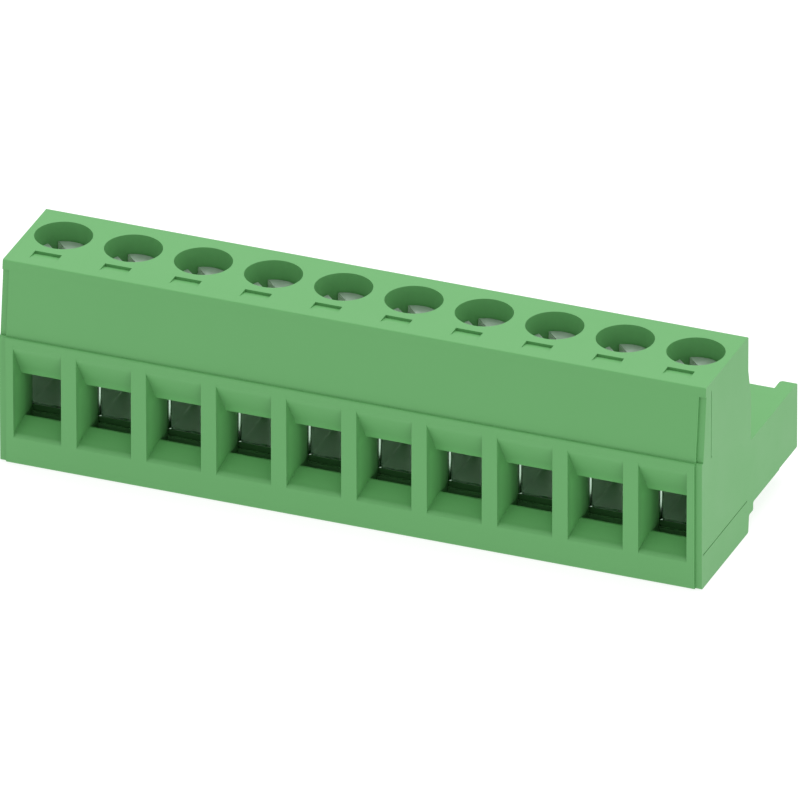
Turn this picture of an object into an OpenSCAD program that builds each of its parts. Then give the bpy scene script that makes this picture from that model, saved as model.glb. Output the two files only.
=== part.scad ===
// Pluggable terminal block: the plug half, with a row of rising-cage screw clamps.
// Each pole has a captive slotted screw, a bent-sheet cage that climbs its thread, and a contact
// whose current bar takes the wire on one side and whose spring leaves take the header pin.
// Shapes are drawn in block coordinates: x from the left end, y from the front plane of the wire
// side towards the mating side, z from the underside. seated() then centres the block on X and Y.
// The height is the stack of one clamp, and the depth is the cage's length with its walls.

/* [Row] */
// Number of poles
poles = 10; // [2:1:12]
// Distance between poles
pitch = 5.08; // [5:0.02:5.2]

/* [Outside] */
// Height of the ledge that divides the wire face from the sloping face
ledge_z = 9.55; // [9.3:0.05:9.8]
// How far the sloping face starts behind the wire face
ledge_d = 0.25; // [0.15:0.05:0.4]
// How far back the top front edge lies
slope_y = 0.9; // [0.6:0.05:1.2]
// How far the lower edge of the wire face is set back
front_draft = 0.08; // [0:0.02:0.12]
// Thickness of the wall behind the clamp chambers
back_wall = 1.1; // [0.9:0.05:1.6]
// How far the lower back swells out behind the top back
back_swell = 0.55; // [0.3:0.05:0.7]
// How far below the top the swell starts
swell_drop = 2.6; // [2:0.1:3]
// Height over which the back swells
swell_h = 2.3; // [1.8:0.1:2.6]
// Rounding at both ends of the swell
swell_r = 1.2; // [0.4:0.1:1.6]
// How far the foot reaches behind the top back
foot_out = 0.13; // [0.05:0.01:0.3]
// How far the heel under the nose reaches behind the top back
heel_out = 1.05; // [0.9:0.05:1.3]
// Height of the heel
heel_z = 1.28; // [1.1:0.02:1.5]
// Rounding of outer edges
edge_r = 0.12; // [0.05:0.01:0.2]
// Rounding of the inner corners at the nose and heel
root_r = 0.15; // [0.05:0.01:0.3]

/* [Nose] */
// Length of the nose behind the top back
nose_len = 9.35; // [9:0.05:10]
// Height of the nose's underside
nose_low = 1.9; // [1.7:0.05:2.1]
// Height of the nose's top
nose_top = 6.85; // [6.75:0.05:7]
// Thickness of the nose above and below the pin chambers
nose_wall = 0.7; // [0.6:0.05:0.8]
// Length of the thinner part of the nose at its mating edge
nose_thin = 3.4; // [2.5:0.1:4.5]
// How much thinner it is on its underside
nose_step = 0.08; // [0.04:0.01:0.12]
// Width of the mouth that takes one header pin
mouth_w = 2.68; // [2.66:0.02:2.8]
// How far the open coding notch reaches in from the mating edge
notch_d = 1.23; // [0.8:0.01:1.5]
// Lead-in round the mouth
mouth_lead = 0.25; // [0.1:0.05:0.4]

/* [Front cover] */
// Thickness of the end wall beside the cover
end_wall = 0.48; // [0.4:0.02:0.6]
// How far the end walls stand back from the cover's face
strip_back = 0.16; // [0.1:0.02:0.24]
// Thickness of the roof lip over the cover
lip_h = 0.7; // [0.5:0.05:0.9]
// Depth of the upper half of the cover
cover_top_d = 2.4; // [2.2:0.05:2.6]
// Thickness of the cover's own end walls
cover_end = 0.57; // [0.5:0.01:0.65]
// Radius of the retaining bead on each end of the cover
bead_r = 0.2; // [0.12:0.02:0.24]
// Distance from the bead to the back of the cover
bead_back = 0.9; // [0.6:0.05:1.1]

/* [Wire funnel] */
// Half width of the mouth of the funnel
funnel_half = 1.99; // [1.9:0.01:2.05]
// How much each side closes in by the narrowest place
side_draft = 0.33; // [0.25:0.01:0.38]
// The same on the outer side of the end poles
end_draft = 0.13; // [0.08:0.01:0.2]
// Distance from the front to the narrowest place
throat_y = 2.45; // [2.2:0.05:2.6]
// How much each side opens again behind it
throat_flare = 0.12; // [0.05:0.01:0.16]
// Height of the funnel's lower lip
funnel_low = 2.12; // [1.95:0.05:2.3]
// Height of the plain band between the funnels and the ledge
brow_h = 0.75; // [0.6:0.05:0.9]
// Height of the throat's floor and of the open cage's floor
throat_low = 2.88; // [2.8:0.02:2.9]
// Height of the throat's roof
throat_high = 6.3; // [6.2:0.05:6.4]
// Distance from the front to the end of the floor's slope
floor_y = 1.78; // [1.5:0.02:2]
// Distance from the front to the end of the roof's slope
roof_y = 1.4; // [1.2:0.02:1.8]
// Rounding of the upper lip
lip_r = 1.4; // [0.4:0.1:1.8]
// Rounding of the lower lip
sill_r = 0.6; // [0.3:0.1:1.2]
// Rounding of the side edges
side_r = 0.1; // [0.05:0.01:0.2]
// Thickness of the sill at the end of the floor's slope
sill_d = 0.2; // [0.15:0.05:0.4]
// Rounding of the sill's back edge
sill_back_r = 0.08; // [0.04:0.01:0.12]
// Height of the hollow's floor between the sill and the cage
well_low = 1.6; // [1.4:0.05:1.9]

/* [Screw] */
// Distance from the front to the screw axis
screw_y = 5.6; // [5.55:0.01:5.65]
// Diameter of the access hole
hole_dia = 4; // [3.96:0.02:4.2]
// Radial play of the head in the hole
head_play = 0.1; // [0.05:0.01:0.1]
// Depth of the head's top below the block's top
head_sink = 1.4; // [1.2:0.05:1.6]
// Height of the head
head_h = 1.4; // [1.3:0.05:1.45]
// Bevel round the top of the head
head_bevel = 0.25; // [0.05:0.05:0.3]
// Width of the slot
slot_w = 0.75; // [0.5:0.05:0.85]
// Depth of the slot
slot_h = 0.9; // [0.6:0.05:1]
// Direction of the slots, turned from the row
slot_turn = -60; // [-90:5:90]
// Outer diameter of the thread
thread_dia = 2.9; // [2.8:0.05:3]
// Radial play of the screw in the cage
thread_play = 0.05; // [0.03:0.01:0.08]
// Radial play of the screw in the roof under its head
neck_play = 0.1; // [0.05:0.01:0.15]
// Bevel round the tip
tip_bevel = 0.3; // [0.1:0.05:0.5]
// Thickness of the roof that carries the head
roof_h = 0.63; // [0.5:0.01:0.9]

/* [Cage] */
// Thickness of the cage's sheet
sheet = 0.5; // [0.4:0.02:0.55]
// Width of sheet left beside the thread hole at its narrowest
hole_rim = 0.05; // [0.04:0.01:0.1]
// Length of the cage along the wire
cage_len = 4.1; // [3.8:0.05:4.14]
// Inner radius of the cage's bends
bend_r = 0.1; // [0.05:0.05:0.4]
// Gap between the lapped ends of the cage
lap_gap = 0.04; // [0.02:0.01:0.08]
// Play of the cage in its chamber, each side
cage_play = 0.06; // [0.04:0.01:0.08]
// Play of the cage in its chamber, front and back
end_play = 0.1; // [0.05:0.01:0.15]
// Room left above the raised cage
rise_play = 0.15; // [0.05:0.05:0.3]
// Gap left between the cage's floor and the bar when the clamp is closed
closed_gap = 0.1; // [0.08:0.01:0.15]

/* [Contact] */
// Thickness of the contact's strip
strip = 0.5; // [0.4:0.02:0.5]
// How far the bar lies above the throat's roof
bar_rise = 0.1; // [0.05:0.01:0.15]
// How far the bar reaches in front of the screw axis
bar_reach = 1.85; // [1.6:0.05:1.95]
// Thickness of the spring leaves
leaf = 0.36; // [0.3:0.02:0.4]
// Height of the spring leaves
leaf_h = 2.5; // [2:0.1:2.6]
// Length of the leaves' straight roots
leaf_root = 2.6; // [2:0.1:3]
// Gap between the leaves where they grip the pin
grip_gap = 0.8; // [0.7:0.05:0.9]
// Distance from the mating edge to the grip
grip_in = 3.1; // [2.8:0.1:3.5]
// Distance from the mating edge to the tips of the leaves
tip_in = 1.7; // [1.5:0.1:2.1]
// How far the tips spread outwards
tip_flare = 0.35; // [0.2:0.05:0.45]

/* [Marks] */
// Width of the marking recess
mark_w = 1.94; // [1.6:0.02:2.2]
// Distance from the marking recess to the screw hole
mark_gap = 0.72; // [0.5:0.02:0.9]
// Length of the marking recess
mark_len = 1.1; // [0.8:0.05:1.3]
// Depth of the marking recess at its back
mark_depth = 0.21; // [0.1:0.01:0.3]
// Width of the parting lines on the ends
parting_w = 0.07; // [0.05:0.01:0.1]
// Depth of the parting lines on the ends
parting_d = 0.05; // [0.03:0.01:0.08]
// Distance of the upright parting line from the front
parting_y = 1.87; // [1.6:0.01:2.2]
// Height of the lower end of the upright parting line
parting_z = 9.3; // [9:0.1:9.6]
// Height of the parting line along the foot
foot_line_z = 2.5; // [2.3:0.05:2.7]

/* [Hidden] */
$fn = 48;
eps = 0.01;        // overshoot of cuts that meet another cut
out = 1;           // overshoot of cuts into the open
play = 0.05;       // gap left between a fixed part and its seat
bead_play = 0.02;  // the same round the beads
arc_steps = 6;     // straight pieces in one rounded corner

green = [0.22, 0.53, 0.23];
zinc = [0.62, 0.65, 0.62];
tin = [0.78, 0.78, 0.74];

// the stack of one clamp, upwards from the wire
cage_low = throat_low - sheet;
bar_low = throat_high + bar_rise;
bar_top = bar_low + strip;
tip_z = bar_top + play;                             // tip of the screw, just off the bar
cage_top = tip_z + 2 * sheet;                       // two lapped sheets round the screw
travel = bar_low - throat_low - closed_gap;         // rise of the cage, from open to closed
chamber_low = cage_low - play;
chamber_high = cage_top + travel + rise_play;
seat_z = chamber_high + roof_h;                     // where the head sits
head_low = seat_z + play;
head_top = head_low + head_h;
block_h = head_top + head_sink;
cover_top = block_h - lip_h;
funnel_high = ledge_z - brow_h;

// depths, from the front
cage_front = screw_y - cage_len / 2;
cage_back = screw_y + cage_len / 2;
cover_d = cage_front - end_play;                    // back of the cover, front of the chambers
chamber_back = cage_back + end_play;
block_d = chamber_back + back_wall;
plug_d = block_d + nose_len;
mark_back = screw_y - hole_dia / 2 - mark_gap;

// widths
row_len = poles * pitch;
window_w = thread_dia + 2 * (thread_play + hole_rim + lap_gap);
cage_w = window_w + 2 * sheet;
chamber_w = cage_w + 2 * cage_play;
head_dia = hole_dia - 2 * head_play;
strip_w = mouth_w - 2 * play;

// nose
mouth_low = nose_low + nose_wall;
mouth_top = nose_top - nose_wall;

// x of pole k, counted from 1
function pole_x(k) = (k - 0.5) * pitch;

// front of the sloping face at height z
function face_y(z) = ledge_d + (z - ledge_z) * (slope_y - ledge_d) / (block_h - ledge_z);

// The points of a corner b between a and c, rounded to radius r
function corner(a, b, c, r) =
    let (
        u = (a - b) / norm(a - b),
        v = (c - b) / norm(c - b),
        half = acos(max(-1, min(1, u * v))) / 2
    )
    r <= 0 || half > 89.9 ? [b] :
    let (
        mid = b + (u + v) / norm(u + v) * r / sin(half),
        from = b + u * r / tan(half) - mid,
        to = b + v * r / tan(half) - mid,
        start = atan2(from[1], from[0]),
        turn = atan2(to[1], to[0]) - start,
        sweep = turn > 180 ? turn - 360 : turn < -180 ? turn + 360 : turn
    )
    [for (i = [0:arc_steps])
        mid + r * [cos(start + sweep * i / arc_steps), sin(start + sweep * i / arc_steps)]];

// A closed outline from [x, y, r] corners
function rounded(pts) =
    let (n = len(pts), flat = [for (p = pts) [p[0], p[1]]])
    [for (i = [0:n - 1]) each corner(flat[(i + n - 1) % n], flat[i], flat[(i + 1) % n], pts[i][2])];

// A (y, z) outline drawn from x0 to x1
module along_x(x0, x1, pts) {
    translate([x0, 0, 0])
        rotate([90, 0, 90])
            linear_extrude(x1 - x0)
                polygon(pts);
}

// An (x, z) outline drawn from y0 to y1
module along_y(y0, y1, pts) {
    translate([0, y1, 0])
        rotate([90, 0, 0])
            linear_extrude(y1 - y0)
                polygon(pts);
}

// An (x, y) outline drawn from z0 to z1
module along_z(z0, z1, pts) {
    translate([0, 0, z0])
        linear_extrude(z1 - z0)
            polygon(pts);
}

// A box between two corners
module block(low, high) {
    translate(low)
        cube(high - low);
}

module seated() {
    translate([-row_len / 2, -plug_d / 2, 0])
        children();
}

// ---- housing ----

// Side view of the housing, with the set-back front of its end walls
function housing_side() =
    let (
        swell_top = block_h - swell_drop,
        swell_d = block_d + back_swell,
        foot_d = block_d + foot_out,
        heel_d = block_d + heel_out,
        step_y = plug_d - nose_thin
    )
    rounded([
        [front_draft + strip_back, 0, edge_r],
        [strip_back, ledge_z, edge_r],
        [strip_back + ledge_d, ledge_z, 0],
        [strip_back + face_y(cover_top), cover_top, 0],
        [face_y(cover_top), cover_top, 0],
        [slope_y, block_h, edge_r],
        [block_d, block_h, edge_r],
        [block_d, swell_top, swell_r],
        [swell_d, swell_top - swell_h, swell_r],
        [swell_d, nose_top, root_r],
        [plug_d, nose_top, edge_r],
        [plug_d, nose_low + nose_step, edge_r],
        [step_y + nose_step, nose_low + nose_step, 0],
        [step_y, nose_low, 0],
        [heel_d, nose_low, root_r],
        [heel_d, heel_z, edge_r],
        [foot_d + root_r, heel_z, root_r],
        [foot_d, 0, edge_r]
    ]);

// The space that the cover fills between the end walls, open to the front and below
module cover_pocket() {
    along_x(end_wall, row_len - end_wall, [
        [-out, -out], [-out, cover_top], [cover_top_d, cover_top], [cover_top_d, ledge_z],
        [cover_d, ledge_z], [cover_d, -out]
    ]);
}

// Room for one cage and its screw, and the way back for the bar
module clamp_room(k) {
    x = pole_x(k);
    block([x - chamber_w / 2, cover_d - eps, chamber_low], [x + chamber_w / 2, chamber_back, chamber_high]);
    translate([x, screw_y, seat_z])
        cylinder(d = hole_dia, h = block_h - seat_z + out);
    translate([x, screw_y, chamber_high - eps])
        cylinder(r = thread_dia / 2 + neck_play, h = roof_h + 2 * eps);
    block([x - mouth_w / 2, chamber_back - eps, mouth_low], [x + mouth_w / 2, block_d, tip_z]);
}

// Pin chamber in the nose, with a mouth that is open upwards at the mating edge
module pin_room(k) {
    x = pole_x(k);
    half = mouth_w / 2;
    block([x - half, chamber_back, mouth_low], [x + half, plug_d + out, mouth_top]);
    block([x - half, plug_d - notch_d, mouth_low], [x + half, plug_d + out, nose_top + out]);
    // lead-in on both sides and below
    along_z(mouth_low, nose_top + out, [
        [x - half - mouth_lead, plug_d + eps], [x - half, plug_d - mouth_lead],
        [x + half, plug_d - mouth_lead], [x + half + mouth_lead, plug_d + eps]
    ]);
    along_x(x - half, x + half, [
        [plug_d - mouth_lead, mouth_low], [plug_d + eps, mouth_low - mouth_lead], [plug_d + eps, mouth_low + eps]
    ]);
}

// Wedge-shaped marking recess in front of a screw hole
module mark_recess(k) {
    along_x(pole_x(k) - mark_w / 2, pole_x(k) + mark_w / 2, [
        [mark_back - mark_len, block_h + eps], [mark_back - mark_len, block_h],
        [mark_back, block_h - mark_depth], [mark_back, block_h + eps]
    ]);
}

// Parting lines on one end: an upright one that turns back at its lower end, and one along the foot
module parting_lines() {
    block([-parting_d, parting_y, parting_z], [parting_d, parting_y + parting_w, cover_top]);
    block([-parting_d, parting_y, parting_z - parting_w], [parting_d, parting_y + 3 * parting_w, parting_z]);
    block([-parting_d, ledge_d + strip_back, foot_line_z],
        [parting_d, block_d - foot_out, foot_line_z + parting_w]);
}

module housing() {
    color(green)
    seated()
    difference() {
        along_x(0, row_len, housing_side());
        cover_pocket();
        beads(bead_play);
        for (k = [1:poles]) {
            clamp_room(k);
            pin_room(k);
            mark_recess(k);
        }
        parting_lines();
        translate([row_len, 0, 0])
            parting_lines();
    }
}

// ---- front cover ----

// Side view of the cover
function cover_side() = rounded([
    [front_draft, 0, edge_r],
    [0, ledge_z, edge_r],
    [ledge_d, ledge_z, 0],
    [face_y(cover_top), cover_top, 0],
    [cover_top_d, cover_top, 0],
    [cover_top_d, ledge_z, 0],
    [cover_d, ledge_z, 0],
    [cover_d, 0, 0]
]);

// Retaining beads at both ends of the cover, grown by some play
module beads(grow) {
    for (x = [end_wall, row_len - end_wall])
        translate([x, cover_d - bead_back, throat_low - grow])
            cylinder(r = bead_r + grow, h = throat_high - throat_low + 2 * grow, $fn = 24);
}

// One wire funnel: a side view that narrows to the throat, crossed with a plan that does the same.
// Behind the sill the floor drops into a hollow, so that the wire runs straight on to the cage.
// The outer sides of the end poles stay clear of the cover's own end walls
module funnel(k) {
    x = pole_x(k);
    outer = pitch / 2 - end_wall - cover_end;
    left = k == 1 ? outer : funnel_half;
    left_throat = left - (k == 1 ? end_draft : side_draft);
    right = k == poles ? outer : funnel_half;
    right_throat = right - (k == poles ? end_draft : side_draft);
    intersection() {
        along_x(x - pitch, x + pitch, rounded([
            [-out, 0, 0],
            [0, 0, 0],
            [0, funnel_low, sill_r],
            [floor_y, throat_low, sill_back_r],
            [floor_y + sill_d, throat_low, sill_back_r],
            [floor_y + sill_d, well_low, 0],
            [cover_d + out, well_low, 0],
            [cover_d + out, throat_high, 0],
            [roof_y, throat_high, side_r],
            [0, funnel_high, lip_r],
            [0, ledge_z, 0],
            [-out, ledge_z, 0]
        ]));
        along_z(0, ledge_z, rounded([
            [x - pitch, -out, 0],
            [x - pitch, 0, 0],
            [x - left, 0, side_r],
            [x - left_throat, throat_y, 0],
            [x - left_throat - throat_flare, cover_d + eps, 0],
            [x + right_throat + throat_flare, cover_d + eps, 0],
            [x + right_throat, throat_y, 0],
            [x + right, 0, side_r],
            [x + pitch, 0, 0],
            [x + pitch, -out, 0]
        ]));
    }
}

module front_cover() {
    color(green)
    seated()
    difference() {
        union() {
            along_x(end_wall, row_len - end_wall, cover_side());
            beads(0);
        }
        for (k = [1:poles])
            funnel(k);
    }
}

// ---- clamp ----

// Captive screw: slotted head, plain shank at the thread's outer diameter, bevelled tip
module screw(k) {
    color(zinc)
    seated()
    translate([pole_x(k), screw_y, 0])
    difference() {
        rotate_extrude()
            polygon([
                [0, tip_z],
                [thread_dia / 2 - tip_bevel, tip_z],
                [thread_dia / 2, tip_z + tip_bevel],
                [thread_dia / 2, head_low],
                [head_dia / 2, head_low],
                [head_dia / 2, head_top - head_bevel],
                [head_dia / 2 - head_bevel, head_top],
                [0, head_top]
            ]);
        translate([0, 0, head_top - slot_h])
            rotate(slot_turn)
                block([-head_dia, -slot_w / 2, 0], [head_dia, slot_w / 2, slot_h + out]);
    }
}

// Cage bent from one strip, its two ends lapped over each other round the screw
module cage(k) {
    w = cage_w / 2;
    outer_r = bend_r + sheet;
    lap_z = tip_z + sheet;
    color(tin)
    seated()
    translate([pole_x(k), 0, 0])
    difference() {
        along_y(cage_front, cage_back, rounded([
            [-w, cage_low, outer_r], [w, cage_low, outer_r], [w, cage_top, outer_r], [-w, cage_top, bend_r]
        ]));
        along_y(cage_front - out, cage_back + out, rounded([
            [-window_w / 2, throat_low, bend_r],
            [window_w / 2, throat_low, bend_r],
            [window_w / 2, tip_z, 0],
            [-window_w / 2, tip_z, bend_r]
        ]));
        // the gap between the lapped ends
        block([-w - out, cage_front - out, lap_z], [window_w / 2, cage_back + out, lap_z + lap_gap]);
        block([window_w / 2 - lap_gap, cage_front - out, tip_z - eps], [window_w / 2, cage_back + out, lap_z + lap_gap]);
        translate([0, screw_y, tip_z - out])
            cylinder(r = thread_dia / 2 + thread_play, h = cage_top - tip_z + 2 * out);
    }
}

// One spring leaf in plan, for the right-hand side: it closes on the pin and flares at its tip
function leaf_plan() =
    let (
        side = strip_w / 2,
        grip = grip_gap / 2,
        root_y = chamber_back + play,
        bend_y = root_y + leaf_root,
        grip_y = plug_d - grip_in,
        tip_y = plug_d - tip_in
    )
    rounded([
        [side - leaf, root_y, 0],
        [side, root_y, 0],
        [side, bend_y, 5 * leaf],
        [grip + leaf, grip_y, 2 * leaf],
        [grip + leaf + tip_flare, tip_y, 0],
        [grip + tip_flare, tip_y + leaf / 4, 0],
        [grip, grip_y, leaf],
        [side - leaf, bend_y, 5 * leaf]
    ]);

// Contact: current bar, stop plate behind the wire, and two spring leaves for the pin
module contact(k) {
    plate_y = chamber_back + play;
    plate_low = mouth_low + play;
    leaf_low = (mouth_low + mouth_top - leaf_h) / 2;
    color(tin)
    seated()
    translate([pole_x(k), 0, 0])
    union() {
        along_x(-strip_w / 2, strip_w / 2, rounded([
            [screw_y - bar_reach, bar_low, strip / 2],
            [plate_y, bar_low, strip / 5],
            [plate_y, plate_low, strip / 5],
            [plate_y + strip, plate_low, strip / 5],
            [plate_y + strip, bar_top, strip * 6 / 5],
            [screw_y - bar_reach, bar_top, strip / 5]
        ]));
        along_z(leaf_low, leaf_low + leaf_h, leaf_plan());
        mirror([1, 0, 0])
            along_z(leaf_low, leaf_low + leaf_h, leaf_plan());
    }
}

housing();
front_cover();
for (k = [1:poles]) {
    screw(k);
    cage(k);
    contact(k);
}
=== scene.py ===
import math

import bmesh
import bpy
from bpy.props import FloatProperty, FloatVectorProperty, IntProperty, PointerProperty
from mathutils import Matrix, Vector


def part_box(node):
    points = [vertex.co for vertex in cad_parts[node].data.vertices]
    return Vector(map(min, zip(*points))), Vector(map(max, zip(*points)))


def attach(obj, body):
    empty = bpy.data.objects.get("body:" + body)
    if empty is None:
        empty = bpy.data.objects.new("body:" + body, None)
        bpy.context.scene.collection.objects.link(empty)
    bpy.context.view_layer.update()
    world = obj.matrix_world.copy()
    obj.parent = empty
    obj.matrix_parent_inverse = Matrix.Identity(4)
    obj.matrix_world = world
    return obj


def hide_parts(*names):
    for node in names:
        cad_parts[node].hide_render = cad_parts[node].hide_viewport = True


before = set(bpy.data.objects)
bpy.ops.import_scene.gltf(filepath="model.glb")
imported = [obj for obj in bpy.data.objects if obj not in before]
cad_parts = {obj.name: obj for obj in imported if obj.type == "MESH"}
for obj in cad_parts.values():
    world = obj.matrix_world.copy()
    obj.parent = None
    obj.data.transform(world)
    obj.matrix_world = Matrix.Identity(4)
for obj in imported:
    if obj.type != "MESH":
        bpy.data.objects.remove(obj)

bl_info = {
    "name": "Pluggable Terminal Block",
    "version": (1, 0, 0),
    "blender": (4, 5, 0),
    "location": "3D View > Sidebar > Terminal Block",
    "description": "Dresses a pluggable terminal block: mouldings, clamp screws, cages, "
                   "contacts and the stage",
    "category": "Object",
}

MM = 0.001
HAIR = 1e-6  # two places nearer than this, in metres, are one

# angles between faces
FLAT = math.radians(0.4)  # below this they are one flat face
SHARP = math.radians(28)  # above this their edge is rounded
CREASE = math.radians(40)  # above this their edge stays hard in the shading
SCREW_CREASE = math.radians(25)


def poles():
    """The numbers of the poles, from the names of the screws."""
    return sorted(int(name.split("_")[1]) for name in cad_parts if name.startswith("screw_"))


def middle(node):
    """The middle of a node's box."""
    low, high = (Vector(c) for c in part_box(node))
    return (low + high) / 2


FIRST = poles()[0]
SCREW_LOW, SCREW_HIGH = (Vector(c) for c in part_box(f"screw_{FIRST}"))
PITCH = middle(f"screw_{FIRST + 1}").x - middle(f"screw_{FIRST}").x
ROW_START = middle(f"screw_{FIRST}").x


# ---- settings ----


class PlugMouldingSettings(bpy.types.PropertyGroup):
    """The green mouldings."""

    colour: FloatVectorProperty(
        name="Polyamide", description="Colour of the mouldings",
        default=(0.115, 0.36, 0.115), subtype="COLOR", size=3, min=0, max=1)
    roughness: FloatProperty(
        name="Roughness", description="Roughness of the moulded skin", default=0.5, min=0.05, max=1)
    edge: FloatProperty(
        name="Edge", description="Width of the rounding along moulded edges", default=0.06 * MM,
        min=0.01 * MM, max=0.1 * MM, unit="LENGTH", precision=6)
    grain: FloatProperty(
        name="Grain", description="Size of the fine grain of the mould", default=0.12 * MM,
        min=0.02 * MM, max=1 * MM, unit="LENGTH", precision=6)
    # painted shade: the next two settings darken the colour of the mouldings in their inner corners
    corner_shade_reach: FloatProperty(
        name="Corner Reach", description="How far the deeper tint of inner corners reaches",
        default=1.1 * MM, min=0.2 * MM, max=4 * MM, unit="LENGTH", precision=6)
    corner_shade_depth: FloatProperty(
        name="Corner Depth", description="How much deeper the tint of inner corners is",
        default=0.2, min=0, max=1)
    # painted light: lightens the colour of the walls inside the funnels
    funnel_light: FloatProperty(
        name="Funnel Light", description="How much lighter the thin walls inside the funnels are",
        default=0.22, min=0, max=1)
    # painted shade: darkens the colour in the hollows behind the sills
    hollow_shade_depth: FloatProperty(
        name="Hollow Depth", description="How much deeper the tint behind the sills is",
        default=0.4, min=0, max=1)


class PlugScrewSettings(bpy.types.PropertyGroup):
    """The clamp screws."""

    head_radius: FloatProperty(
        name="Head Radius", description="Radius of the head",
        default=(SCREW_HIGH.x - SCREW_LOW.x) / 2,
        min=1 * MM, max=3 * MM, unit="LENGTH", precision=6)
    head_height: FloatProperty(
        name="Head Height", description="Height of the head", default=1.4 * MM,
        min=0.5 * MM, max=2 * MM, unit="LENGTH", precision=6)
    head_bevel: FloatProperty(
        name="Head Bevel", description="Bevel round the top of the head", default=0.06 * MM,
        min=0.02 * MM, max=0.4 * MM, unit="LENGTH", precision=6)
    thread_radius: FloatProperty(
        name="Thread Radius", description="Outer radius of the thread", default=1.45 * MM,
        min=0.8 * MM, max=2 * MM, unit="LENGTH", precision=6)
    thread_pitch: FloatProperty(
        name="Thread Pitch", description="Rise of the thread in one turn", default=0.5 * MM,
        min=0.3 * MM, max=0.8 * MM, unit="LENGTH", precision=6)
    thread_depth: FloatProperty(
        name="Thread Depth", description="Depth of the thread", default=0.27 * MM,
        min=0.1 * MM, max=0.4 * MM, unit="LENGTH", precision=6)
    slot_width: FloatProperty(
        name="Slot Width", description="Width of the driver slot", default=0.75 * MM,
        min=0.3 * MM, max=1 * MM, unit="LENGTH", precision=6)
    slot_depth: FloatProperty(
        name="Slot Depth", description="Depth of the driver slot", default=0.9 * MM,
        min=0.3 * MM, max=1.2 * MM, unit="LENGTH", precision=6)
    slot_turn: FloatProperty(
        name="Slot Turn", description="Direction of the slots, turned from the row",
        default=math.radians(-45), min=-math.pi, max=math.pi, subtype="ANGLE")
    sides: IntProperty(
        name="Sides", description="Number of sides of the turned surfaces",
        default=64, min=24, max=128)
    colour: FloatVectorProperty(
        name="Zinc", description="Colour of the plated screws",
        default=(0.4, 0.5, 0.42), subtype="COLOR", size=3, min=0, max=1)


class PlugClampSettings(bpy.types.PropertyGroup):
    """The cages and the contacts."""

    edge: FloatProperty(
        name="Edge", description="Rounding along stamped edges", default=0.04 * MM,
        min=0.01 * MM, max=0.1 * MM, unit="LENGTH", precision=6)
    # partly painted reflection: the grey of this colour is the zinc's own, and its green tint
    # stands in for the green mouldings seen in the metal
    sheet: FloatVectorProperty(
        name="Cage", description="Colour of the plated sheet",
        default=(0.5, 0.66, 0.54), subtype="COLOR", size=3, min=0, max=1)
    mouth_edge: FloatProperty(
        name="Mouth Edge", description="Width of the rounding on a cage's inner edges at its mouth",
        default=0.3 * MM, min=0.05 * MM, max=0.35 * MM, unit="LENGTH", precision=6)
    mouth_fall: FloatProperty(
        name="Mouth Fall", description="How deep that rounding is for its width",
        default=0.35, min=0.1, max=1)
    tin: FloatVectorProperty(
        name="Contact", description="Colour of the tinned strip",
        default=(0.72, 0.72, 0.68), subtype="COLOR", size=3, min=0, max=1)


class PlugStageSettings(bpy.types.PropertyGroup):
    """The floor, the lights and the camera."""

    azimuth: FloatProperty(
        name="Azimuth", description="Direction that the camera looks from",
        default=math.radians(21.412), min=-math.pi, max=math.pi, subtype="ANGLE")
    elevation: FloatProperty(
        name="Elevation", description="Height of the camera as an angle",
        default=math.radians(28.043), min=0, max=math.pi / 2, subtype="ANGLE")
    distance: FloatProperty(
        name="Distance", description="Distance of the camera",
        default=2.4, min=0.5, max=4, unit="LENGTH")
    view_width: FloatProperty(
        name="View Width", description="Width that the picture shows at the block",
        default=53.985 * MM, min=20 * MM, max=200 * MM, unit="LENGTH", precision=6)
    sky: FloatProperty(
        name="Sky", description="Strength of the even light from all round",
        default=0.9, min=0, max=4)
    overhead: FloatProperty(
        name="Overhead", description="Power of the soft lamp above",
        default=2.1, min=0, max=20, unit="POWER")
    fill: FloatProperty(
        name="Fill", description="Power of the soft lamp on the right",
        default=0.07, min=0, max=20, unit="POWER")
    floor: FloatVectorProperty(
        name="Floor", description="Colour of the floor",
        default=(0.3, 0.3, 0.3), subtype="COLOR", size=3, min=0, max=1)
    glow: FloatProperty(
        name="Glow", description="Strength of the light that comes through the floor",
        default=0.8, min=0, max=2)


# ---- mesh helpers ----


def shown(name, mesh):
    """A new object at the origin that holds a mesh."""
    piece = bpy.data.objects.new(name, mesh)
    bpy.context.scene.collection.objects.link(piece)
    return piece


def welded(node):
    """A node's mesh, with its loose triangles joined and its flat faces made whole."""
    bm = bmesh.new()
    bm.from_mesh(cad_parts[node].data)
    bmesh.ops.remove_doubles(bm, verts=bm.verts, dist=HAIR)
    bmesh.ops.dissolve_limit(bm, angle_limit=FLAT, verts=bm.verts, edges=bm.edges)
    return bm


def round_edges(bm, width, wanted, segments=2, clamp=True):
    """Rounds the sharp outer edges that are wanted."""
    sharp = [edge for edge in bm.edges
             if len(edge.link_faces) == 2 and edge.is_convex
             and edge.calc_face_angle(0) > SHARP and wanted(edge)]
    bmesh.ops.bevel(bm, geom=sharp, offset=width, offset_type="OFFSET", segments=segments,
                    profile=0.5, affect="EDGES", clamp_overlap=clamp)


def soften(mesh, crease):
    """Shades a mesh smooth, but for the edges whose angle is more than crease."""
    for face in mesh.polygons:
        face.use_smooth = True
    mesh.set_sharp_from_angle(angle=crease)


def finished(bm, name):
    """A mesh from bm that is smooth across its roundings."""
    mesh = bpy.data.meshes.new(name)
    bm.to_mesh(mesh)
    bm.free()
    if "custom_normal" in mesh.attributes:  # left from the loose triangles, and wrong by now
        mesh.attributes.remove(mesh.attributes["custom_normal"])
    soften(mesh, CREASE)
    return mesh


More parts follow.
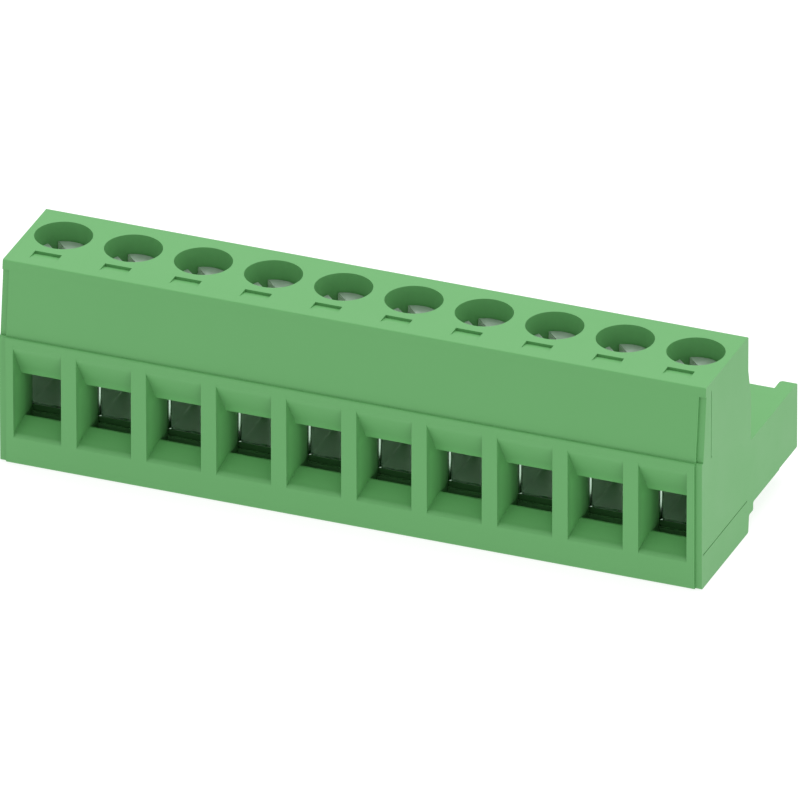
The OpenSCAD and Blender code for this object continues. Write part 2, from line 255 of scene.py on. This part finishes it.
def even_normals(piece):
    """Keeps large faces flat beside their rounded edges."""
    modifier = piece.modifiers.new("Even normals", "WEIGHTED_NORMAL")
    modifier.keep_sharp = True
    modifier.weight = 80


# ---- node helpers ----


def link(tree, source, target):
    """Joins an output to an input."""
    tree.links.new(source, target)


def put(tree, kind, inputs=None, **settings):
    """A node with its settings and inputs. An input is a value or the socket that feeds it."""
    node = tree.nodes.new(kind)
    for name, value in settings.items():
        setattr(node, name, value)
    for name, value in (inputs or {}).items():
        socket = node.inputs[name]
        if isinstance(value, bpy.types.NodeSocket):
            link(tree, value, socket)
        else:
            socket.default_value = value
    return node


def maths(tree, operation, a, b=0.0, c=0.0):
    """A Math node's result."""
    return put(tree, "ShaderNodeMath", {0: a, 1: b, 2: c}, operation=operation).outputs[0]


def new_material(name):
    """A material with an empty tree, its shader and its output."""
    material = bpy.data.materials.new(name)
    material.use_nodes = True
    tree = material.node_tree
    tree.nodes.clear()
    shader = put(tree, "ShaderNodeBsdfPrincipled")
    output = put(tree, "ShaderNodeOutputMaterial")
    link(tree, shader.outputs[0], output.inputs[0])
    return material, tree, shader


def product(tree, a, b):
    """a times b."""
    return maths(tree, "MULTIPLY", a, b)


def one_plus(tree, value, by):
    """1 plus value times by, which may be less than nothing."""
    return maths(tree, "MULTIPLY_ADD", value, by, 1.0)


def ramp(tree, value, start, end, low=0.0, high=1.0):
    """Goes from low to high as a value goes from start to end, and stays there."""
    return put(tree, "ShaderNodeMapRange", {
        "Value": value, "From Min": start, "From Max": end,
        "To Min": low, "To Max": high}).outputs[0]


def speckle(tree, vector, size, detail):
    """Even noise with features of about one size, in metres."""
    return put(tree, "ShaderNodeTexNoise", {
        "Vector": vector, "Scale": 1 / size, "Detail": detail}).outputs[0]


def uneven(tree, noise, low, high):
    """Spreads the middle of a noise, where nearly all of it lies, from low to high."""
    return ramp(tree, noise, 0.3, 0.7, low, high)


def blend_colours(tree, factor, a, b):
    """A colour between a and b, each three numbers or a socket."""
    ends = {6: a, 7: b}
    for place, colour in ends.items():
        if not isinstance(colour, bpy.types.NodeSocket):
            ends[place] = (*colour, 1)
    return put(tree, "ShaderNodeMix", {0: factor, **ends}, data_type="RGBA").outputs[2]


def rough_to_touch(tree, shader, height, strength, depth):
    """Gives a shader the bumps of a height, which are depth deep."""
    bump = put(tree, "ShaderNodeBump", {"Strength": strength, "Distance": depth, "Height": height})
    link(tree, bump.outputs[0], shader.inputs["Normal"])


def scaled(colour, by):
    """A colour made lighter or darker."""
    return tuple(min(1, c * by) for c in colour)


# ---- materials ----


def polyamide(settings):
    """Moulded polyamide: slow changes of tint, a fine grain and an uneven gloss."""
    cloud_size, flow_size = 14 * MM, 3 * MM
    tint_change, gloss_change = 0.03, 0.03
    material, tree, shader = new_material("green_polyamide")
    here = put(tree, "ShaderNodeTexCoord").outputs["Object"]
    colour = tuple(settings.colour)
    cloud = speckle(tree, here, cloud_size, 3)
    skin = blend_colours(
        tree, cloud, scaled(colour, 1 - tint_change), scaled(colour, 1 + tint_change))
    # painted shade: the colour darkens in inner corners, by how much of the moulding lies near them
    shelter = put(tree, "ShaderNodeAmbientOcclusion", {"Distance": settings.corner_shade_reach},
                  samples=8, only_local=True).outputs["AO"]
    openness = ramp(tree, shelter, 0.0, 0.9, 1 - settings.corner_shade_depth, 1.0)
    x, y, z = put(tree, "ShaderNodeSeparateXYZ", {0: here}).outputs

    def within(value, low, high, soft=0.04 * MM):
        """1 between two places and 0 outside them, with a soft change."""
        rise = ramp(tree, value, low, low + soft)
        fall = ramp(tree, value, high, high - soft)
        return product(tree, rise, fall)

    # painted shade: the hollow between each funnel's sill and its cage gets no light of its own, so
    # its colour is darkened
    (left, front, _), (right, _, _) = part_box("front_cover")
    cage_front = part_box(f"cage_{FIRST}")[0][1]
    end_wall = 0.2 * MM
    hollow_start, hollow_low, hollow_high = front + 1.9 * MM, 1.5 * MM, 2.88 * MM
    hollow = product(tree, within(y, hollow_start, cage_front), within(z, hollow_low, hollow_high))
    inside = within(x, left + end_wall, right - end_wall)
    hollow = product(tree, hollow, inside)
    shade = product(tree, openness, one_plus(tree, hollow, -settings.hollow_shade_depth))

    # painted light: the walls inside the funnels are made lighter, standing in for light that comes
    # through them where they are thin
    funnel_start, funnel_end = front + 0.1 * MM, front + 2.3 * MM
    funnel_low, funnel_high = 1.9 * MM, 7 * MM
    funnel = product(tree, within(y, funnel_start, funnel_end, 0.5 * MM),
                     within(z, funnel_low, funnel_high, 0.8 * MM))
    funnel = product(tree, funnel, inside)
    shade = product(tree, shade, one_plus(tree, funnel, settings.funnel_light))

    shaded = put(tree, "ShaderNodeVectorMath", {0: skin}, operation="SCALE")
    link(tree, shade, shaded.inputs["Scale"])
    link(tree, shaded.outputs[0], shader.inputs["Base Color"])
    flow = speckle(tree, here, flow_size, 4)
    gloss = uneven(
        tree, flow, settings.roughness - gloss_change, settings.roughness + gloss_change)
    link(tree, gloss, shader.inputs["Roughness"])
    grain = speckle(tree, here, settings.grain, 2)
    rough_to_touch(tree, shader, grain, strength=0.15, depth=0.004 * MM)
    shader.inputs["IOR"].default_value = 1.5
    shader.inputs["Specular IOR Level"].default_value = 0.43
    return material


def turned_zinc(settings):
    """Zinc-plated steel with fine rings from turning about each screw's own axis."""
    ring_spacing, patch_size = 0.09 * MM, 0.5 * MM
    painted_wall_light, slot_floor_darkening = (0.95, 1.0, 0.95), 0.3
    material, tree, shader = new_material("zinc_screw")
    here = put(tree, "ShaderNodeTexCoord").outputs["Object"]
    x, y, z = put(tree, "ShaderNodeSeparateXYZ", {0: here}).outputs
    across = maths(tree, "SUBTRACT", x, ROW_START - PITCH / 2)
    across = maths(tree, "SUBTRACT", maths(tree, "FLOORED_MODULO", across, PITCH), PITCH / 2)
    along = maths(tree, "SUBTRACT", y, middle(f"screw_{FIRST}").y)
    radius = maths(tree, "SQRT", maths(
        tree, "ADD", product(tree, across, across), product(tree, along, along)))
    rings = maths(tree, "SINE", product(tree, radius, 2 * math.pi / ring_spacing))
    patch = speckle(tree, here, patch_size, 3)
    colour = tuple(settings.colour)
    skin = blend_colours(tree, patch, scaled(colour, 0.85), scaled(colour, 1.1))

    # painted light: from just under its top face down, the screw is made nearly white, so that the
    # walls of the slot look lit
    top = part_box(f"screw_{FIRST}")[1][2]
    slot_floor = top - settings.slot_depth
    walls = ramp(tree, z, top - 0.06 * MM, top - 0.02 * MM, 1.0, 0.0)
    skin = blend_colours(tree, walls, skin, painted_wall_light)
    # the screw is darker from just above the slot's floor down
    floor = ramp(tree, z, slot_floor + 0.05 * MM, slot_floor + 0.02 * MM)
    skin = blend_colours(tree, floor, skin, scaled(colour, slot_floor_darkening))
    link(tree, skin, shader.inputs["Base Color"])
    link(tree, uneven(tree, patch, low=0.34, high=0.46), shader.inputs["Roughness"])
    rough_to_touch(tree, shader, rings, strength=0.35, depth=0.004 * MM)
    shader.inputs["Metallic"].default_value = 0.6
    return material


def rolled_sheet(name, colour, low, high, inner=None, foot=0.0):
    """Plated sheet with fine rolling lines along the wire.

    low and high are the ends of its roughness, inner is where along Y the sheet turns dull and its
    colour lighter, past the polished edge of a mouth, and foot the height below which it is painted
    dark green, a painted reflection of the shaded hollow in front of it.
    """
    line_width, line_stretch, patch_size = 0.06 * MM, 0.04, 0.7 * MM
    dull_lit_colour, painted_dark_reflection = (0.6, 0.82, 0.64), (0.045, 0.17, 0.045)
    material, tree, shader = new_material(name)
    here = put(tree, "ShaderNodeTexCoord").outputs["Object"]
    drawn = put(tree, "ShaderNodeMapping", {
        "Vector": here, "Scale": (1.0, line_stretch, 1.0)}).outputs[0]
    lines = speckle(tree, drawn, line_width, 2)
    patch = speckle(tree, here, patch_size, 3)
    skin = blend_colours(tree, patch, scaled(colour, 0.88), scaled(colour, 1.08))
    gloss = uneven(tree, patch, low, high)
    shader.inputs["Metallic"].default_value = 1.0
    if inner is not None:
        _, y, z = put(tree, "ShaderNodeSeparateXYZ", {0: here}).outputs
        # past the polished mouth the sheet turns rougher, and its colour lighter: painted light in
        # the shaded inside of the cage; its green tint is painted reflection as on the rest of the
        # sheet
        dull_and_lit = ramp(tree, y, inner, inner + 0.05 * MM)
        # painted reflection: below the foot the sheet is painted dark green, for the shaded hollow
        # that its metal faces
        below_foot = ramp(tree, z, foot - 0.01 * MM, foot - 0.03 * MM)
        skin = blend_colours(tree, dull_and_lit, skin, dull_lit_colour)
        skin = blend_colours(tree, below_foot, skin, painted_dark_reflection)
        gloss = maths(tree, "MULTIPLY_ADD", dull_and_lit, 0.28, gloss)
        gloss = maths(tree, "MULTIPLY_ADD", below_foot, 0.4, gloss)
        metal = one_plus(tree, dull_and_lit, -0.15)
        metal = maths(tree, "MULTIPLY_ADD", below_foot, -0.6, metal)
        link(tree, metal, shader.inputs["Metallic"])
    link(tree, skin, shader.inputs["Base Color"])
    link(tree, gloss, shader.inputs["Roughness"])
    rough_to_touch(tree, shader, lines, strength=0.15, depth=0.002 * MM)
    return material


# ---- geometry trees ----


def new_tree(name, inputs):
    """A geometry tree with named inputs. Gives the tree, its input node and its output node."""
    tree = bpy.data.node_groups.new(name, "GeometryNodeTree")
    for label, kind in inputs.items():
        tree.interface.new_socket(name=label, in_out="INPUT", socket_type=f"NodeSocket{kind}")
    tree.interface.new_socket(name="Geometry", in_out="OUTPUT", socket_type="NodeSocketGeometry")
    return tree, tree.nodes.new("NodeGroupInput").outputs, tree.nodes.new("NodeGroupOutput")


def closing(tree, geometry, material, output):
    """Ends a tree in Realize Instances and Set Material."""
    real = put(tree, "GeometryNodeRealizeInstances", {0: geometry})
    painted = put(tree, "GeometryNodeSetMaterial", {
        "Geometry": real.outputs[0], "Material": material})
    link(tree, painted.outputs[0], output.inputs[0])


def grown(tree, values, name, base=None):
    """Runs a tree on a mesh and gives the plain mesh that comes out."""
    host = shown(name + "_host", base or bpy.data.meshes.new(name + "_base"))
    modifier = host.modifiers.new("Nodes", "NODES")
    modifier.node_group = tree
    for item in tree.interface.items_tree:
        if item.in_out == "INPUT" and item.name in values:
            modifier[item.identifier] = values[item.name]
    graph = bpy.context.evaluated_depsgraph_get()
    mesh = bpy.data.meshes.new_from_object(host.evaluated_get(graph), depsgraph=graph)
    host.modifiers.remove(modifier)
    bpy.data.objects.remove(host)
    mesh.name = name
    return mesh


def screw_tree():
    """One clamp screw: bevelled head with a slot, and a shank with a helical thread."""
    tree, given, output = new_tree("clamp_screw", {
        "Geometry": "Geometry", "Axis": "Vector", "Head Top": "Float", "Tip": "Float",
        "Head Radius": "Float", "Head Height": "Float", "Head Bevel": "Float",
        "Thread Radius": "Float", "Thread Pitch": "Float", "Thread Depth": "Float",
        "Slot Width": "Float", "Slot Depth": "Float", "Slot Turn": "Float",
        "Sides": "Int", "Material": "Material"})
    radius, height, bevel = given["Head Radius"], given["Head Height"], given["Head Bevel"]

    def at(x=0.0, y=0.0, z=0.0):
        """A place, or three sizes or angles."""
        return put(tree, "ShaderNodeCombineXYZ", {0: x, 1: y, 2: z}).outputs[0]

    def moved(geometry, **settings):
        return put(tree, "GeometryNodeTransform", {"Geometry": geometry, **settings}).outputs[0]

    def drum(r, depth):
        """An upright cylinder about its own middle."""
        return put(tree, "GeometryNodeMeshCylinder", {
            "Vertices": given["Sides"], "Radius": r, "Depth": depth})

    def tapered(cylinder, end, depth, ratio):
        """Adds a bevelled end to a drum, and narrows it to a ratio of its width."""
        pulled = put(tree, "GeometryNodeExtrudeMesh", {
            "Mesh": cylinder.outputs["Mesh"], "Selection": cylinder.outputs[end],
            "Offset Scale": depth, "Individual": False}, mode="FACES")
        return put(tree, "GeometryNodeScaleElements", {
            "Geometry": pulled.outputs[0], "Selection": pulled.outputs["Top"], "Scale": ratio},
            domain="FACE").outputs[0]

    drum_height = maths(tree, "SUBTRACT", height, bevel)
    top_radius = maths(tree, "SUBTRACT", radius, bevel)
    head = tapered(drum(radius, drum_height), "Top", bevel,
                   maths(tree, "DIVIDE", top_radius, radius))
    head_low = maths(tree, "SUBTRACT", given["Head Top"], height)
    head_middle = maths(tree, "MULTIPLY_ADD", drum_height, 0.5, head_low)
    head = moved(head, Translation=at(z=head_middle))

    # the cutter's middle is on the head's top, and it is longer than the head is wide
    cutter_length = product(tree, radius, 3.0)
    cutter_height = product(tree, given["Slot Depth"], 2.0)
    cutter = put(tree, "GeometryNodeMeshCube", {
        "Size": at(cutter_length, given["Slot Width"], cutter_height)})
    cutter = moved(cutter.outputs[0], Translation=at(z=given["Head Top"]),
                   Rotation=at(z=given["Slot Turn"]))
    head = put(tree, "GeometryNodeMeshBoolean", {"Mesh 1": head, "Mesh 2": cutter},
               operation="DIFFERENCE", solver="EXACT").outputs[0]

    # the shank narrows towards its tip, and runs a little into the head
    lead_turns, tip_ratio, sunk = 0.6, 0.8, 0.3
    core = maths(tree, "SUBTRACT", given["Thread Radius"], given["Thread Depth"])
    lead = product(tree, given["Thread Pitch"], lead_turns)
    run = maths(tree, "SUBTRACT", maths(tree, "SUBTRACT", head_low, given["Tip"]), lead)
    shank_length = maths(tree, "ADD", run, product(tree, lead, sunk))
    shank = tapered(drum(core, shank_length), "Bottom", lead, tip_ratio)
    low = maths(tree, "ADD", given["Tip"], lead)
    shank_middle = maths(tree, "ADD", low, product(tree, shank_length, 0.5))
    shank = moved(shank, Translation=at(z=shank_middle))

    # the thread is a four-sided ridge, half sunk in the shank and a little narrower along it
    flattened = (1.0, 0.85, 1.0)
    turns = maths(tree, "DIVIDE", run, given["Thread Pitch"])
    rail = put(tree, "GeometryNodeCurveSpiral", {
        "Resolution": given["Sides"], "Rotations": turns, "Start Radius": core,
        "End Radius": core, "Height": run})
    upright = put(tree, "GeometryNodeSetCurveNormal", {"Curve": rail.outputs[0]}, mode="Z_UP")
    ridge = put(tree, "GeometryNodeCurvePrimitiveCircle", {
        "Resolution": 4, "Radius": given["Thread Depth"]})
    profile = moved(ridge.outputs[0], Scale=flattened)
    thread = put(tree, "GeometryNodeCurveToMesh", {
        "Curve": upright.outputs[0], "Profile Curve": profile, "Fill Caps": True})
    thread = moved(thread.outputs[0], Translation=at(z=low))

    whole = put(tree, "GeometryNodeJoinGeometry")
    for part in (thread, shank, head):
        link(tree, part, whole.inputs[0])
    placed = moved(whole.outputs[0], Translation=given["Axis"])
    closing(tree, placed, given["Material"], output)
    return tree


def row_tree():
    """Copies a stamped part along the row and keeps the copy of one pole."""
    tree, given, output = new_tree("row_copy", {
        "Geometry": "Geometry", "Pitch": "Float", "Poles": "Int", "Pole": "Int",
        "Material": "Material"})
    step = put(tree, "ShaderNodeCombineXYZ", {0: given["Pitch"]}).outputs[0]
    row = put(tree, "GeometryNodeMeshLine", {"Count": given["Poles"], "Offset": step},
              mode="OFFSET")
    index = put(tree, "GeometryNodeInputIndex").outputs[0]
    same = put(tree, "FunctionNodeCompare", {2: index, 3: given["Pole"]},
               data_type="INT", operation="EQUAL").outputs[0]
    copies = put(tree, "GeometryNodeInstanceOnPoints", {
        "Points": row.outputs[0], "Selection": same, "Instance": given["Geometry"]}).outputs[0]
    closing(tree, copies, given["Material"], output)
    return tree


# ---- operators ----


class PLUG_OT_mouldings(bpy.types.Operator):
    """Makes the housing and the front cover, with rounded edges and moulded polyamide"""

    bl_idname = "plug.mouldings"
    bl_label = "Mouldings"

    def execute(self, context):
        settings = context.scene.plug_mouldings
        material = polyamide(settings)
        end, _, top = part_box("housing")[1]
        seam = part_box("front_cover")[1][2]  # the cover ends here, flush under the roof's lip
        groove_depth, mark_depth, mark_area = 0.06 * MM, 0.25 * MM, 3 * MM * MM
        shortest = 0.02 * MM
        for node in ("housing", "front_cover"):
            bm = welded(node)

            def open_edge(edge):
                """Leaves out the seam, the grooves in the ends and the marks in the top."""
                if all(abs(v.co.z - seam) < HAIR for v in edge.verts):
                    return False
                for face in edge.link_faces:
                    inset = max(end - abs(v.co.x) for v in face.verts)
                    drop = max(top - v.co.z for v in face.verts)
                    in_groove = HAIR < inset < groove_depth
                    in_mark = HAIR < drop < mark_depth and face.calc_area() < mark_area
                    if in_groove or in_mark:
                        return False
                return edge.calc_length() > shortest

            round_edges(bm, settings.edge, open_edge)
            mesh = finished(bm, node + "_moulding")
            mesh.materials.append(material)
            piece = shown(node + "_moulding", mesh)
            even_normals(piece)
            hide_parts(node)
            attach(piece, "block")
        return {"FINISHED"}


class PLUG_OT_screws(bpy.types.Operator):
    """Makes the slotted clamp screws with their threads"""

    bl_idname = "plug.screws"
    bl_label = "Clamp screws"

    def execute(self, context):
        settings = context.scene.plug_screws
        material = turned_zinc(settings)
        tree = screw_tree()
        for pole in poles():
            node = f"screw_{pole}"
            axis = middle(node)
            mesh = grown(tree, {
                "Axis": (axis.x, axis.y, 0.0), "Head Top": SCREW_HIGH.z, "Tip": SCREW_LOW.z,
                "Head Radius": settings.head_radius, "Head Height": settings.head_height,
                "Head Bevel": settings.head_bevel, "Thread Radius": settings.thread_radius,
                "Thread Pitch": settings.thread_pitch, "Thread Depth": settings.thread_depth,
                "Slot Width": settings.slot_width, "Slot Depth": settings.slot_depth,
                "Slot Turn": settings.slot_turn, "Sides": settings.sides, "Material": material,
            }, f"clamp_{node}")
            if not mesh.polygons:
                raise RuntimeError(f"{node} came out empty")
            soften(mesh, SCREW_CREASE)
            piece = shown(mesh.name, mesh)
            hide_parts(node)
            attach(piece, node)
        return {"FINISHED"}


def stamped_parts(kind, body, material, edge, first=None):
    """Finishes the first pole's part and copies it along the row, one for each pole.

    body is what all of them ride on, or None where each rides on its own body,
    and first is what is done to the mesh before its edges are rounded.
    """
    shortest = 0.3 * MM  # edges below this stay as they are
    tree = row_tree()
    numbers = poles()
    for pole in numbers:
        node = f"{kind}_{pole}"
        bm = welded(f"{kind}_{FIRST}")
        if first:
            first(bm)
        round_edges(bm, edge, lambda e: e.calc_length() > shortest)
        base = finished(bm, f"{node}_base")
        mesh = grown(tree, {
            "Pitch": PITCH, "Poles": len(numbers), "Pole": pole - FIRST, "Material": material,
        }, f"stamped_{node}", base)
        if not mesh.polygons:
            raise RuntimeError(f"{node} came out empty")
        piece = shown(mesh.name, mesh)
        even_normals(piece)
        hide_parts(node)
        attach(piece, body or node)


class PLUG_OT_cages(bpy.types.Operator):
    """Makes the bent cages that climb the screws"""

    bl_idname = "plug.cages"
    bl_label = "Cages"

    def execute(self, context):
        settings = context.scene.plug_clamps
        low, high = (Vector(c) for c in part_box(f"cage_{FIRST}"))
        centre = middle(f"cage_{FIRST}").x
        sheet = 0.5 * MM
        window = (high.x - low.x) / 2 - sheet  # half its width
        floor, roof = low.z + sheet, high.z - 2 * sheet  # the roof is two sheets, lapped
        polished = low.y + 0.25 * MM
        material = rolled_sheet("zinc_sheet", tuple(settings.sheet), 0.12, 0.2, polished, floor)

        def on_mouth(edge):
            """Takes the window's front edge, but for its right side, which stays as cut."""
            for v in edge.verts:
                if (v.co.y > low.y + HAIR or abs(v.co.x - centre) > window + HAIR
                        or not floor - HAIR < v.co.z < roof + HAIR):
                    return False
            side = sum(v.co.x for v in edge.verts) / 2 - centre
            upright = abs(edge.verts[0].co.z - edge.verts[1].co.z) > 2 * MM
            return not (upright and side > 0)

        def round_mouth(bm):
            """Rounds the edge that the wire passes first, in a curve longer than it is deep."""
            before = set(bm.verts)
            round_edges(bm, settings.mouth_edge, on_mouth, segments=8, clamp=False)
            for v in bm.verts:
                if v not in before and v.co.y < low.y + settings.mouth_edge + HAIR:
                    v.co.y = low.y + (v.co.y - low.y) * settings.mouth_fall
                    if v.co.z < floor:
                        v.co.z = floor + (v.co.z - floor) * settings.mouth_fall / 2

        stamped_parts("cage", None, material, settings.edge, round_mouth)
        return {"FINISHED"}


class PLUG_OT_contacts(bpy.types.Operator):
    """Makes the contacts, each with its current bar, stop plate and spring leaves"""

    bl_idname = "plug.contacts"
    bl_label = "Contacts"

    def execute(self, context):
        settings = context.scene.plug_clamps
        material = rolled_sheet("tinned_copper", tuple(settings.tin), 0.22, 0.34)
        stamped_parts("contact", "block", material, settings.edge)
        return {"FINISHED"}


class PLUG_OT_stage(bpy.types.Operator):
    """Makes the pale floor, the soft light and the camera"""

    bl_idname = "plug.stage"
    bl_label = "Stage"

    def execute(self, context):
        settings = context.scene.plug_stage
        scene = context.scene

        half_width, gap = 1.5, 0.05 * MM  # the gap keeps the floor clear of the underside
        bm = bmesh.new()
        bmesh.ops.create_grid(bm, x_segments=8, y_segments=8, size=half_width)
        bmesh.ops.translate(bm, vec=(0, 0, -gap), verts=bm.verts)
        mesh = bpy.data.meshes.new("floor")
        bm.to_mesh(mesh)
        bm.free()
        material, tree, shader = new_material("pale_floor")
        here = put(tree, "ShaderNodeTexCoord").outputs["Object"]
        colour = tuple(settings.floor)
        patch = speckle(tree, here, 0.2, 2)
        link(tree, blend_colours(tree, patch, scaled(colour, 0.995), colour),
             shader.inputs["Base Color"])
        shader.inputs["Roughness"].default_value = 0.9
        shader.inputs["Specular IOR Level"].default_value = 0.1
        shader.inputs["Emission Color"].default_value = (1, 1, 1, 1)
        shader.inputs["Emission Strength"].default_value = settings.glow
        mesh.materials.append(material)
        floor = shown("floor", mesh)

        world = bpy.data.worlds.new("soft_sky")
        world.use_nodes = True
        sky = world.node_tree.nodes["Background"].inputs
        sky["Color"].default_value = (1, 1, 1, 1)
        sky["Strength"].default_value = settings.sky
        scene.world = world

        centre = Vector((0, -0.1 * MM, 7.5 * MM))
        lamp_size = 0.5
        for name, place, power in (
                ("overhead", Vector((0.03, 0.2, 0.6)), settings.overhead),
                ("fill", Vector((0.6, -0.1, 0.25)), settings.fill)):
            lamp = bpy.data.lights.new(name, "AREA")
            lamp.energy = power
            lamp.size = lamp_size
            holder = bpy.data.objects.new(name, lamp)
            holder.location = place
            holder.rotation_euler = (place - centre).to_track_quat("Z", "Y").to_euler()
            scene.collection.objects.link(holder)

        # towards points from the block to the camera, and aim is the middle of the picture
        az, el = settings.azimuth, settings.elevation
        towards = Vector((math.sin(az) * math.cos(el), -math.cos(az) * math.cos(el), math.sin(el)))
        right = Vector((math.cos(az), math.sin(az), 0))
        up = towards.cross(right)
        aim_right, aim_down = 0.184 * MM, 2.054 * MM
        lens = bpy.data.cameras.new("camera")
        lens.sensor_width = 36
        lens.lens = lens.sensor_width * settings.distance / settings.view_width
        lens.clip_start, lens.clip_end = 0.05, 20
        camera = bpy.data.objects.new("camera", lens)
        camera.rotation_euler = Matrix((right, up, towards)).transposed().to_euler()
        camera.location = (
            centre + towards * settings.distance + right * aim_right - up * aim_down)
        scene.collection.objects.link(camera)
        scene.camera = camera

        scene.view_settings.view_transform = "Standard"
        scene.view_settings.look = "None"
        return {"FINISHED"}


STEPS = (PLUG_OT_mouldings, PLUG_OT_screws, PLUG_OT_cages, PLUG_OT_contacts, PLUG_OT_stage)


class PLUG_PT_panel(bpy.types.Panel):
    """Lists the steps and their settings"""

    bl_idname = "PLUG_PT_panel"
    bl_label = "Terminal Block"
    bl_space_type = "VIEW_3D"
    bl_region_type = "UI"
    bl_category = "Terminal Block"

    def draw(self, context):
        for step in STEPS:
            self.layout.operator(step.bl_idname)
        for name, kind in GROUPS.items():
            box = self.layout.box()
            for key in kind.__annotations__:
                box.prop(getattr(context.scene, name), key)


GROUPS = {
    "plug_mouldings": PlugMouldingSettings,
    "plug_screws": PlugScrewSettings,
    "plug_clamps": PlugClampSettings,
    "plug_stage": PlugStageSettings,
}
CLASSES = (*GROUPS.values(), *STEPS, PLUG_PT_panel)


def register():
    for kind in CLASSES:
        bpy.utils.register_class(kind)
    for name, kind in GROUPS.items():
        setattr(bpy.types.Scene, name, PointerProperty(type=kind))


def unregister():
    for name in GROUPS:
        delattr(bpy.types.Scene, name)
    for kind in reversed(CLASSES):
        bpy.utils.unregister_class(kind)


def main():
    """Builds everything."""
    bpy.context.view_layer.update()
    register()
    bpy.ops.plug.mouldings()
    bpy.ops.plug.screws()
    bpy.ops.plug.cages()
    bpy.ops.plug.contacts()
    bpy.ops.plug.stage()


if __name__ == "__main__":
    main()
